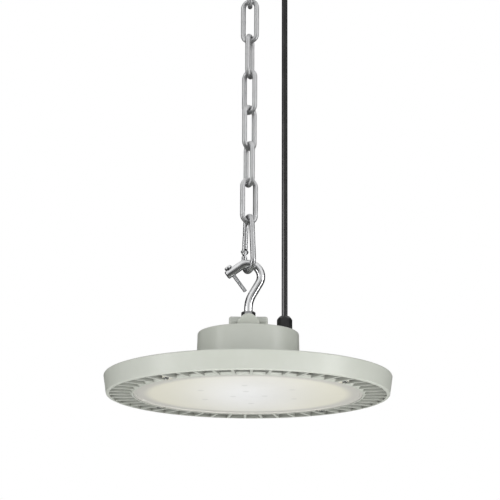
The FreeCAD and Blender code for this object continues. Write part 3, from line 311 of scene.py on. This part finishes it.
def grain_group():
    """A height for powder coat, cast skin or moulded plastic: small soft bumps."""
    group, source, result = new_group(
        "grain",
        [("Vector", "NodeSocketVector", None),
         ("Scale", "NodeSocketFloat", 900.0),
         ("Pits", "NodeSocketFloat", 0.3)],
        [("Height", "NodeSocketFloat")])
    swell = add(group, "ShaderNodeTexNoise")
    swell.inputs["Detail"].default_value = 2.0
    cells = add(group, "ShaderNodeTexVoronoi", feature="SMOOTH_F1")
    join(group, source.outputs["Vector"], swell.inputs["Vector"])
    join(group, source.outputs["Vector"], cells.inputs["Vector"])
    join(group, source.outputs["Scale"], swell.inputs["Scale"])
    cell_scale = maths(group, "MULTIPLY", source.outputs["Scale"], CELL_SHARE)
    join(group, cell_scale, cells.inputs["Scale"])
    hollow = maths(group, "MULTIPLY", cells.outputs["Distance"], source.outputs["Pits"])
    join(group, maths(group, "SUBTRACT", swell.outputs["Fac"], hollow), result.inputs["Height"])
    return group


def drawn_lines_group():
    """Fine lines drawn out along one axis of the vector it is given."""
    group, source, result = new_group(
        "drawn lines",
        [("Vector", "NodeSocketVector", None),
         ("Scale", "NodeSocketFloat", 1500.0)],
        [("Height", "NodeSocketFloat")])
    lines = add(group, "ShaderNodeTexNoise")
    lines.inputs["Detail"].default_value = 4.0
    stretch = add(group, "ShaderNodeVectorMath", operation="MULTIPLY")
    stretch.inputs[1].default_value = DRAWN_STRETCH
    join(group, source.outputs["Vector"], stretch.inputs[0])
    join(group, stretch.outputs["Vector"], lines.inputs["Vector"])
    join(group, source.outputs["Scale"], lines.inputs["Scale"])
    join(group, lines.outputs["Fac"], result.inputs["Height"])
    return group


def corner_painted_shade_group():
    """A mask of painted shade that is 1 deep in slots and corners, where shade falls."""
    group, source, result = new_group(
        "painted_shade",
        [("Vector", "NodeSocketVector", None),
         ("Reach", "NodeSocketFloat", 0.012)],
        [("Mask", "NodeSocketFloat")])
    open_air = add(group, "ShaderNodeAmbientOcclusion", samples=8)
    join(group, source.outputs["Reach"], open_air.inputs["Distance"])
    cloud = add(group, "ShaderNodeTexNoise")
    cloud.inputs["Scale"].default_value = CLOUD_SCALE
    join(group, source.outputs["Vector"], cloud.inputs["Vector"])
    closed = spread(group, open_air.outputs["AO"], *CLOSED_SPAN)
    patchy = spread(group, cloud.outputs["Fac"], *CLOUD_SPAN, CLOUD_LEAST, 1.0)
    join(group, maths(group, "MULTIPLY", closed, patchy), result.inputs["Mask"])
    return group


EDGE_WEAR = edge_wear_group()
CORNER_PAINTED_SHADE = corner_painted_shade_group()
MOTTLE = mottle_group()
GRAIN = grain_group()
DRAWN_LINES = drawn_lines_group()


def place_group(tree, group, vector, **values):
    """Puts a group into a material with its own values; gives the group node."""
    node = add(tree, "ShaderNodeGroup", node_tree=group)
    join(tree, vector, node.inputs["Vector"])
    for title, value in values.items():
        node.inputs[title].default_value = value
    return node


def finish_material(name, dark, light, worn, roughness, metallic=0.0, tone_scale=30.0,
                    edge_width=0.0006, edge_amount=0.5, grain_scale=900.0, pits=0.3,
                    bump=0.15, drawn=0.0, specular=0.5,
                    rough_spread=0.08, painted_shade=0.0, painted_shade_reach=0.012, extra=None):
    """One of the finishes: mottled colour, painted shade in deep corners if asked, worn edges,
    uneven roughness and a fine bump.
    """
    material = bpy.data.materials.new(name)
    material.use_nodes = True
    tree = material.node_tree
    shader = tree.nodes["Principled BSDF"]
    shader.inputs["Metallic"].default_value = metallic
    shader.inputs["Specular IOR Level"].default_value = specular
    place = add(tree, "ShaderNodeTexCoord").outputs["Object"]
    tone = place_group(tree, MOTTLE, place, Scale=tone_scale).outputs["Tone"]
    colour = blend_colours(tree, tone, dark, light)
    if extra:
        colour = extra(tree, place, colour)
    # Painted shade: deep slots and corners are darkened towards a darker copy of the paint.
    if painted_shade:
        hollow = place_group(tree, CORNER_PAINTED_SHADE, place, Reach=painted_shade_reach).outputs["Mask"]
        shade = tuple(part * share for part, share in zip(dark, CORNER_SHADE)) + (1.0,)
        colour = blend_colours(tree, maths(tree, "MULTIPLY", hollow, painted_shade), colour, shade)
    wear = place_group(tree, EDGE_WEAR, place, Width=edge_width)
    worn_part = maths(tree, "MULTIPLY", wear.outputs["Mask"], edge_amount)
    colour = blend_colours(tree, worn_part, colour, worn)
    join(tree, colour, shader.inputs["Base Color"])
    join(tree, spread(tree, tone, 0.0, 1.0, roughness - rough_spread,
                      roughness + rough_spread, smooth=False), shader.inputs["Roughness"])
    height = place_group(tree, GRAIN, place, Scale=grain_scale, Pits=pits).outputs["Height"]
    if drawn:
        lines = place_group(tree, DRAWN_LINES, place).outputs["Height"]
        height = maths(tree, "ADD", height, maths(tree, "MULTIPLY", lines, drawn))
    relief = add(tree, "ShaderNodeBump")
    relief.inputs["Strength"].default_value = bump
    relief.inputs["Distance"].default_value = BUMP_DEPTH
    join(tree, height, relief.inputs["Height"])
    join(tree, relief.outputs["Normal"], shader.inputs["Normal"])
    return material


def grey(value, green=0.0, blue=0.0):
    """A grey with a little more or less green and blue in it."""
    return (value, value + green, value + blue, 1.0)


# The casting gets painted shade in its slots and between its fins.
painted_casting = finish_material(
    "sage grey powder coat", grey(0.535, 0.018, -0.042), grey(0.555, 0.016, -0.038),
    grey(0.68, 0.01, 0.0), 0.34, tone_scale=22.0, edge_width=0.0007, edge_amount=0.35,
    grain_scale=1100.0, pits=0.5, bump=0.12, rough_spread=0.015,
    painted_shade=0.92, painted_shade_reach=0.026)
painted_steel = finish_material(
    "light grey powder coat", grey(0.50, 0.01, 0.0), grey(0.56, 0.01, 0.0),
    grey(0.7), 0.45, tone_scale=25.0, grain_scale=1100.0, bump=0.12)
zinc_steel = finish_material(
    "bright zinc plate", grey(0.62, 0.005, 0.012), grey(0.72, 0.003, 0.008),
    grey(0.84), 0.16, metallic=1.0, tone_scale=60.0, edge_width=0.0003,
    edge_amount=0.4, grain_scale=1500.0, bump=0.05, drawn=0.3, rough_spread=0.04)
snap_steel = finish_material(
    "dull zinc plate", grey(0.50, 0.004, 0.01), grey(0.58, 0.003, 0.008),
    grey(0.80), 0.40, metallic=1.0, tone_scale=80.0, edge_width=0.0003,
    edge_amount=0.4, grain_scale=1500.0, bump=0.06, drawn=0.3, rough_spread=0.05)
galvanised_chain = finish_material(
    "matt galvanised steel", grey(0.60, 0.004, 0.01), grey(0.70, 0.003, 0.006),
    grey(0.84), 0.54, metallic=1.0, tone_scale=90.0, edge_width=0.0003,
    edge_amount=0.3, grain_scale=1500.0, pits=0.5, bump=0.12, rough_spread=0.07)
black_plastic = finish_material(
    "black polyamide", grey(0.012), grey(0.022), grey(0.10), 0.42, tone_scale=80.0,
    edge_width=0.0004, edge_amount=0.35, grain_scale=2600.0, bump=0.18)
black_rubber = finish_material(
    "black seal rubber", grey(0.010), grey(0.020), grey(0.05), 0.6, tone_scale=90.0,
    grain_scale=2000.0, bump=0.2)
cable_rubber = finish_material(
    "black cable rubber", grey(0.006), grey(0.010), grey(0.05), 0.20, tone_scale=60.0,
    edge_amount=0.0, grain_scale=1200.0, bump=0.04, specular=0.28, rough_spread=0.03)
silicone_seal = finish_material(
    "pale silicone", grey(0.50), grey(0.58), grey(0.65), 0.55, tone_scale=60.0, bump=0.1)
bare_aluminium = finish_material(
    "plain aluminium", grey(0.60), grey(0.72), grey(0.85), 0.38, metallic=1.0, drawn=1.0)
white_plastic = finish_material(
    "white polyamide", grey(0.70), grey(0.78), grey(0.85), 0.4)
white_board = finish_material(
    "white board lacquer", grey(0.75), grey(0.82), grey(0.8), 0.35)
led_chip = finish_material(
    "yellow phosphor", (0.75, 0.55, 0.10, 1.0), (0.85, 0.66, 0.16, 1.0),
    (0.85, 0.8, 0.6, 1.0), 0.3)


def seen_through_lens(tree, place, colour):
    """The frosted lens: a cream painted reflection, a greyer border, and faint spots that show
    through.
    """
    split = add(tree, "ShaderNodeSeparateXYZ")
    join(tree, place, split.inputs[0])
    x, y = split.outputs["X"], split.outputs["Y"]
    along = maths(tree, "MULTIPLY", x, x)
    deep = maths(tree, "MULTIPLY", y, y)
    radius = maths(tree, "SQRT", maths(tree, "ADD", along, deep))
    flat_deep = maths(tree, "MULTIPLY", deep, CREAM_REFLECTION_DEPTH)
    oval = maths(tree, "SQRT", maths(tree, "ADD", along, flat_deep))
    # Painted reflection: a cream tint that grows outwards, stronger to the sides than near and
    # far.
    cream_reflection = spread(tree, oval, *CREAM_REFLECTION_SPAN)
    colour = blend_colours(tree, cream_reflection, colour, LENS_CREAM)
    border = maths(tree, "MULTIPLY", spread(tree, radius, *BORDER_SPAN),
                   spread(tree, radius, *LENS_EDGE, 1.0, 0.0))
    colour = blend_colours(tree, border, colour, LENS_BORDER)
    angle = maths(tree, "ARCTAN2", y, x)
    for circle, count, start in SPOTS:
        turns = maths(tree, "MULTIPLY", angle, count / (2 * math.pi))
        turns = maths(tree, "ADD", turns, start)
        offset = maths(tree, "SUBTRACT", maths(tree, "FRACT", turns), 0.5)
        across = maths(tree, "MULTIPLY", offset, 2 * math.pi * circle / count)
        away = maths(tree, "SUBTRACT", radius, circle)
        squares = maths(tree, "ADD", maths(tree, "MULTIPLY", across, across),
                        maths(tree, "MULTIPLY", away, away))
        gap = maths(tree, "SQRT", squares)
        spot = spread(tree, gap, *SPOT_SPAN, 0.0, SPOT_STRENGTH)
        colour = blend_colours(tree, spot, colour, LENS_SPOT)
    return colour


frosted_lens = finish_material(
    "frosted polycarbonate", grey(0.84, 0.0, -0.01), grey(0.88, 0.0, -0.008),
    grey(0.92), 0.38, tone_scale=16.0, edge_width=0.0005, edge_amount=0.4,
    grain_scale=3000.0, bump=0.05, rough_spread=0.04, extra=seen_through_lens)

FINISHES = {
    "painted_casting": painted_casting,
    "painted_steel": painted_steel,
    "zinc_steel": zinc_steel,
    "snap_steel": snap_steel,
    "galvanised_chain": galvanised_chain,
    "black_plastic": black_plastic,
    "black_rubber": black_rubber,
    "cable_rubber": cable_rubber,
    "silicone_seal": silicone_seal,
    "bare_aluminium": bare_aluminium,
    "white_plastic": white_plastic,
    "white_board": white_board,
    "led_chip": led_chip,
    "frosted_lens": frosted_lens,
}
SLOTS = {entry["node"]: entry["material_slot"] for entry in frame["record"]["subparts"]}


def finish_nodes():
    """Gives every solid the finish of its slot."""
    for name, node in nodes.items():
        node.data.materials.clear()
        node.data.materials.append(FINISHES[SLOTS[name]])


# ---------------------------------------------------------------- supply cable
def supply_cable():
    """The round cable, straight up from the gland."""
    curve = bpy.data.curves.new("supply_cable", "CURVE")
    curve.dimensions = "3D"
    curve.bevel_depth = CABLE_RADIUS
    curve.bevel_resolution = 8
    curve.use_fill_caps = True
    spline = curve.splines.new("NURBS")
    spline.points.add(len(CABLE_ROUTE) - 1)
    for point, height in zip(spline.points, CABLE_ROUTE):
        point.co = (CABLE_X, 0.0, height, 1.0)
    spline.order_u = 3
    spline.use_endpoint_u = True
    spline.resolution_u = 12
    curve.materials.append(cable_rubber)
    cable = bpy.data.objects.new("supply_cable", curve)
    bpy.context.scene.collection.objects.link(cable)
    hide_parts("cable")
    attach(cable, "hanging_light")


# ---------------------------------------------------------------- screws
def choose(piece, kind, test):
    """Selects the edges or faces of a piece in edit mode whose corners all pass a test."""
    bpy.ops.mesh.select_mode(type=kind)
    bpy.ops.mesh.select_all(action="DESELECT")
    shape = bmesh.from_edit_mesh(piece.data)
    for part in shape.edges if kind == "EDGE" else shape.faces:
        part.select_set(all(test(corner.co) for corner in part.verts))
    bmesh.update_edit_mesh(piece.data)


def combine(piece, tool, operation):
    """Adds one piece to another or cuts it away, and deletes the tool."""
    step = piece.modifiers.new("combine", "BOOLEAN")
    step.operation = operation
    step.object = tool
    step.solver = "EXACT"
    bpy.ops.object.select_all(action="DESELECT")
    bpy.context.view_layer.objects.active = piece
    bpy.ops.object.modifier_apply(modifier=step.name)
    bpy.data.objects.remove(tool)


def screw_thread(radius, pitch, top, length):
    """A V thread wound about Z, cut off flat at its top and at its point."""
    bpy.ops.object.select_all(action="DESELECT")
    flank = pitch / math.sqrt(3.0)
    bpy.ops.mesh.primitive_circle_add(
        vertices=3, radius=flank, fill_type="NOTHING",
        location=(radius - flank * THREAD_FLATNESS, 0.0, -length - pitch),
        rotation=(math.pi / 2, math.pi / 2, 0.0), scale=(1.0, THREAD_FLATNESS, 1.0))
    thread = bpy.context.object
    bpy.ops.object.transform_apply(location=True, rotation=True, scale=True)
    bpy.ops.object.mode_set(mode="EDIT")
    # The inner side of the triangle goes, and its two flanks stay.
    choose(thread, "EDGE", lambda corner: corner.x < radius - pitch * THREAD_INNER)
    bpy.ops.mesh.delete(type="EDGE")
    bpy.ops.object.mode_set(mode="OBJECT")
    winding = thread.modifiers.new("winding", "SCREW")
    winding.screw_offset = pitch
    winding.iterations = math.ceil((length + top) / pitch) + THREAD_SPARE_TURNS
    winding.steps = THREAD_STEPS
    winding.render_steps = THREAD_STEPS
    winding.use_merge_vertices = True
    winding.merge_threshold = pitch * THREAD_MERGE
    bpy.ops.object.modifier_apply(modifier=winding.name)
    bpy.ops.object.mode_set(mode="EDIT")
    bpy.ops.mesh.select_all(action="SELECT")
    bpy.ops.mesh.remove_doubles(threshold=pitch * THREAD_MERGE)
    for level, facing in ((top, 1.0), (-length, -1.0)):
        bpy.ops.mesh.select_all(action="SELECT")
        bpy.ops.mesh.bisect(plane_co=(0.0, 0.0, level), plane_no=(0.0, 0.0, facing),
                            use_fill=True, clear_outer=True)
    bpy.ops.mesh.select_all(action="SELECT")
    bpy.ops.mesh.normals_make_consistent(inside=False)
    bpy.ops.object.mode_set(mode="OBJECT")
    return thread


def recess_cutter(turn, head_radius, head_tall):
    """One tapered bar of the cross that a screwdriver fits."""
    bpy.ops.object.select_all(action="DESELECT")
    bpy.ops.mesh.primitive_cube_add(
        size=1.0, location=(0.0, 0.0, head_tall), rotation=(0.0, 0.0, turn),
        scale=(head_radius * RECESS_LONG, head_radius * RECESS_WIDE, head_tall * RECESS_DEEP))
    cutter = bpy.context.object
    bpy.ops.object.transform_apply(location=True, rotation=True, scale=True)
    bpy.ops.object.mode_set(mode="EDIT")
    choose(cutter, "FACE", lambda corner: corner.z < head_tall)
    bpy.ops.transform.resize(value=(RECESS_TAPER, RECESS_TAPER, 1.0))
    bpy.ops.object.mode_set(mode="OBJECT")
    return cutter


def pan_head_screw(name, radius, pitch, length, head_radius, head_tall):
    """A pan head screw with a cross recess, its seat at height zero and its point below."""
    bpy.ops.object.select_all(action="DESELECT")
    bpy.ops.mesh.primitive_cylinder_add(
        vertices=HEAD_CORNERS, radius=head_radius, depth=head_tall,
        location=(0.0, 0.0, head_tall / 2))
    screw = bpy.context.object
    screw.name = screw.data.name = name
    bpy.ops.object.transform_apply(location=True)
    bpy.ops.object.mode_set(mode="EDIT")
    choose(screw, "EDGE", lambda corner: corner.z > head_tall / 2)
    bpy.ops.mesh.bevel(offset=head_tall * HEAD_CROWN, segments=5, affect="EDGES")
    choose(screw, "EDGE", lambda corner: corner.z < head_tall / 2)
    bpy.ops.mesh.bevel(offset=head_tall * HEAD_FOOT_ROUND, segments=2, affect="EDGES")
    bpy.ops.object.mode_set(mode="OBJECT")
    for turn in (0.0, math.pi / 2):
        combine(screw, recess_cutter(turn, head_radius, head_tall), "DIFFERENCE")
    combine(screw, screw_thread(radius, pitch, head_tall * SHANK_IN_HEAD, length), "UNION")
    bpy.ops.object.select_all(action="DESELECT")
    screw.select_set(True)
    bpy.context.view_layer.objects.active = screw
    bpy.ops.object.shade_smooth_by_angle(angle=SMOOTH_ANGLE)
    return screw


def corners_of(name):
    """The different corners of a solid's mesh, in order."""
    mesh = nodes[name].data
    places = {tuple(round(part, 6) for part in corner.co) for corner in mesh.vertices}
    return [Vector(place) for place in sorted(places)]


def dress_screw(screw, node, place):
    """Puts a finished screw where its solid is."""
    screw.data.transform(place)
    screw.data.materials.append(FINISHES[SLOTS[node]])
    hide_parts(node)
    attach(screw, "hanging_light")


def safety_screw():
    """The screw across the hook's mouth, found by the long axis of its solid."""
    points = corners_of("hook_safety_screw")
    middle = sum(points, Vector()) / len(points)
    axis = Vector((0.0, 0.0, 1.0))
    arms = [point - middle for point in points]
    # Each round turns the axis towards the way in which the solid is longest.
    for sharpening in range(AXIS_ROUNDS):
        axis = sum((arm * arm.dot(axis) for arm in arms), Vector()).normalized()
    head_edge = max(points, key=lambda point: point.y)
    if (head_edge - middle).dot(axis) < 0.0:
        axis.negate()
    reach = [arm.dot(axis) for arm in arms]
    seat = middle + axis * (max(reach) - SAFETY_HEAD_TALL)
    screw = pan_head_screw(
        "safety_screw", SAFETY_SCREW_RADIUS, SAFETY_SCREW_PITCH,
        max(reach) - min(reach) - SAFETY_HEAD_TALL, head_edge.y, SAFETY_HEAD_TALL)
    place = Matrix.Translation(seat) @ axis.to_track_quat("Z", "Y").to_matrix().to_4x4()
    dress_screw(screw, "hook_safety_screw", place)


def lens_screw_set():
    """The four screws that hold the lens by its ears, each stopped at its own turn."""
    low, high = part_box("lens_screws")
    points = corners_of("lens_screws")
    seat = low[2] + LENS_HEAD_TALL
    first = pan_head_screw("lens_screw", LENS_SCREW_RADIUS, LENS_SCREW_PITCH,
                           high[2] - seat, LENS_HEAD_RADIUS, LENS_HEAD_TALL)
    quarters = ((1, 1), (-1, 1), (-1, -1), (1, -1))
    for number, (side_x, side_y) in enumerate(quarters):
        near = [point for point in points if point.x * side_x > 0 and point.y * side_y > 0]
        centre = sum(near, Vector()) / len(near)
        screw = bpy.data.objects.new(f"lens_screw_{number + 1}", first.data.copy())
        bpy.context.scene.collection.objects.link(screw)
        place = (Matrix.Translation((centre.x, centre.y, seat))
                 @ Matrix.Rotation(math.pi, 4, "X")
                 @ Matrix.Rotation(RECESS_TURNS[number], 4, "Z"))
        dress_screw(screw, "lens_screws", place)
    bpy.data.objects.remove(first)


# ---------------------------------------------------------------- studio
def area_lamp(name, place, size, power, mirrored):
    """A soft box that looks at the lower part of the hanging light."""
    data = bpy.data.lights.new(name, "AREA")
    data.shape = "RECTANGLE"
    data.size, data.size_y = size
    data.energy = power
    lamp = bpy.data.objects.new(name, data)
    bpy.context.scene.collection.objects.link(lamp)
    aim = Vector(LAMP_AIM) - Vector(place)
    lamp.rotation_mode = "QUATERNION"
    lamp.rotation_quaternion = aim.to_track_quat("-Z", "Y")
    lamp.location = place
    lamp.visible_camera = False
    lamp.visible_glossy = mirrored
    return lamp


def cable_lamp():
    """A wide soft box at the left front that lights the cable alone, for its long highlight."""
    lit = bpy.data.collections.new("lit by the cable lamp")
    lit.objects.link(bpy.data.objects["supply_cable"])
    lamp = area_lamp(*CABLE_LAMP)
    lamp.light_linking.receiver_collection = lit


def studio_floor():
    """A wide pale floor, nearly as white as the walls, and dim where metal mirrors it."""
    bpy.ops.mesh.primitive_plane_add(size=FLOOR_WIDE, location=(0.0, 0.0, FLOOR_Z))
    floor = bpy.context.object
    floor.name = "studio_floor"
    plain = bpy.data.materials.new("studio floor")
    plain.use_nodes = True
    tree = plain.node_tree
    shader = tree.nodes["Principled BSDF"]
    shader.inputs["Base Color"].default_value = FLOOR_PAINT
    shader.inputs["Roughness"].default_value = 0.9
    pale = add(tree, "ShaderNodeEmission")
    pale.inputs["Color"].default_value = FLOOR_PALE
    dim = add(tree, "ShaderNodeEmission")
    dim.inputs["Strength"].default_value = MIRROR_FLOOR
    path = add(tree, "ShaderNodeLightPath")
    glossy = add(tree, "ShaderNodeMixShader")
    join(tree, path.outputs["Is Glossy Ray"], glossy.inputs[0])
    join(tree, shader.outputs[0], glossy.inputs[1])
    join(tree, dim.outputs[0], glossy.inputs[2])
    either = add(tree, "ShaderNodeMixShader")
    join(tree, path.outputs["Is Camera Ray"], either.inputs[0])
    join(tree, glossy.outputs[0], either.inputs[1])
    join(tree, pale.outputs[0], either.inputs[2])
    join(tree, either.outputs[0], tree.nodes["Material Output"].inputs["Surface"])
    floor.data.materials.append(plain)


def studio_walls():
    """White where the camera sees them, soft grey as a light, and banded in mirrored metal."""
    world = bpy.data.worlds.new("white studio")
    bpy.context.scene.world = world
    bpy.context.scene.view_settings.view_transform = "Standard"
    world.use_nodes = True
    tree = world.node_tree
    tree.nodes.clear()
    direction = add(tree, "ShaderNodeSeparateXYZ")
    join(tree, add(tree, "ShaderNodeTexCoord").outputs["Generated"], direction.inputs[0])
    across, away, high = direction.outputs
    sideways = maths(tree, "ABSOLUTE", across)
    strength = spread(tree, away, *WORLD_FRONT_SPAN, WORLD_BACK, WORLD_FRONT)
    from_above = spread(tree, high, *WORLD_TOP_SPAN, 0.0, WORLD_TOP)
    strength = maths(tree, "ADD", strength, from_above)
    turned = maths(tree, "SUBTRACT", away, maths(tree, "MULTIPLY", across, MIRROR_TURN))
    front = spread(tree, turned, *MIRROR_FRONT_SPAN, MIRROR_BRIGHT, MIRROR_DARK)
    gap = spread(tree, sideways, *MIRROR_GAP_SPAN, MIRROR_GAP, 1.0)
    horizon = spread(tree, high, *MIRROR_HORIZON_SPAN, MIRROR_HORIZON, 1.0)
    walls = maths(tree, "MULTIPLY", maths(tree, "MULTIPLY", front, gap), horizon)
    overhead = spread(tree, high, *MIRROR_TOP_SPAN, 0.0, MIRROR_TOP)
    mirrored = maths(tree, "MAXIMUM", walls, overhead)
    path = add(tree, "ShaderNodeLightPath")
    lit = add(tree, "ShaderNodeBackground")
    lit.inputs["Color"].default_value = COOL_WHITE
    join(tree, strength, lit.inputs["Strength"])
    bands = add(tree, "ShaderNodeBackground")
    join(tree, mirrored, bands.inputs["Strength"])
    bands.inputs["Color"].default_value = WHITE
    seen = add(tree, "ShaderNodeBackground")
    seen.inputs["Color"].default_value = WHITE
    glossy = add(tree, "ShaderNodeMixShader")
    join(tree, path.outputs["Is Glossy Ray"], glossy.inputs[0])
    join(tree, lit.outputs[0], glossy.inputs[1])
    join(tree, bands.outputs[0], glossy.inputs[2])
    either = add(tree, "ShaderNodeMixShader")
    join(tree, path.outputs["Is Camera Ray"], either.inputs[0])
    join(tree, glossy.outputs[0], either.inputs[1])
    join(tree, seen.outputs[0], either.inputs[2])
    out = add(tree, "ShaderNodeOutputWorld")
    join(tree, either.outputs[0], out.inputs[0])


def studio():
    """The floor, the walls and the lamps."""
    studio_floor()
    studio_walls()
    for lamp in LAMPS:
        area_lamp(*lamp)
    cable_lamp()


def camera():
    """A long lens that looks up at the light from below its disc."""
    data = bpy.data.cameras.new("camera")
    data.lens = CAMERA_LENS
    data.sensor_width = CAMERA_SENSOR
    data.clip_start = CAMERA_NEAR
    data.clip_end = CAMERA_FAR
    view = bpy.data.objects.new("camera", data)
    bpy.context.scene.collection.objects.link(view)
    place = Matrix.Translation(CAMERA_PLACE)
    tilt = Matrix.Rotation(math.radians(CAMERA_TILT), 4, "X")
    roll = Matrix.Rotation(math.radians(CAMERA_ROLL), 4, "Z")
    view.matrix_world = place @ tilt @ roll
    bpy.context.scene.camera = view


finish_nodes()
camera()
supply_cable()
safety_screw()
lens_screw_set()
studio()
